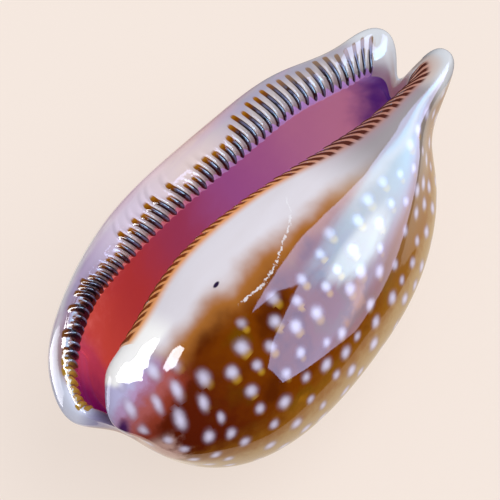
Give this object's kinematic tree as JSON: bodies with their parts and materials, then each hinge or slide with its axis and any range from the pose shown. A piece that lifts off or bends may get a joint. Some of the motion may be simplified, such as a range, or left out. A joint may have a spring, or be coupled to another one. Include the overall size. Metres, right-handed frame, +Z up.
{
  "type": "cowrie shell",
  "caption": "Large glossy cowrie shell lying on its back, with a long toothed mouth between two curled lips, a hollow body and a forked front end.",
  "frame": {"origin": "on the ground, under the middle of the shell's box", "axes": "+X along the shell to its front end with the two horns, +Y towards the outer lip, +Z up, out of the mouth"},
  "size_m": [0.1126, 0.058, 0.0464],
  "materials": {
    "shell_enamel": "polished natural enamel"
  },
  "bodies": {
    "root": {"shell": "shell_enamel"}
  },
  "joints": []
}
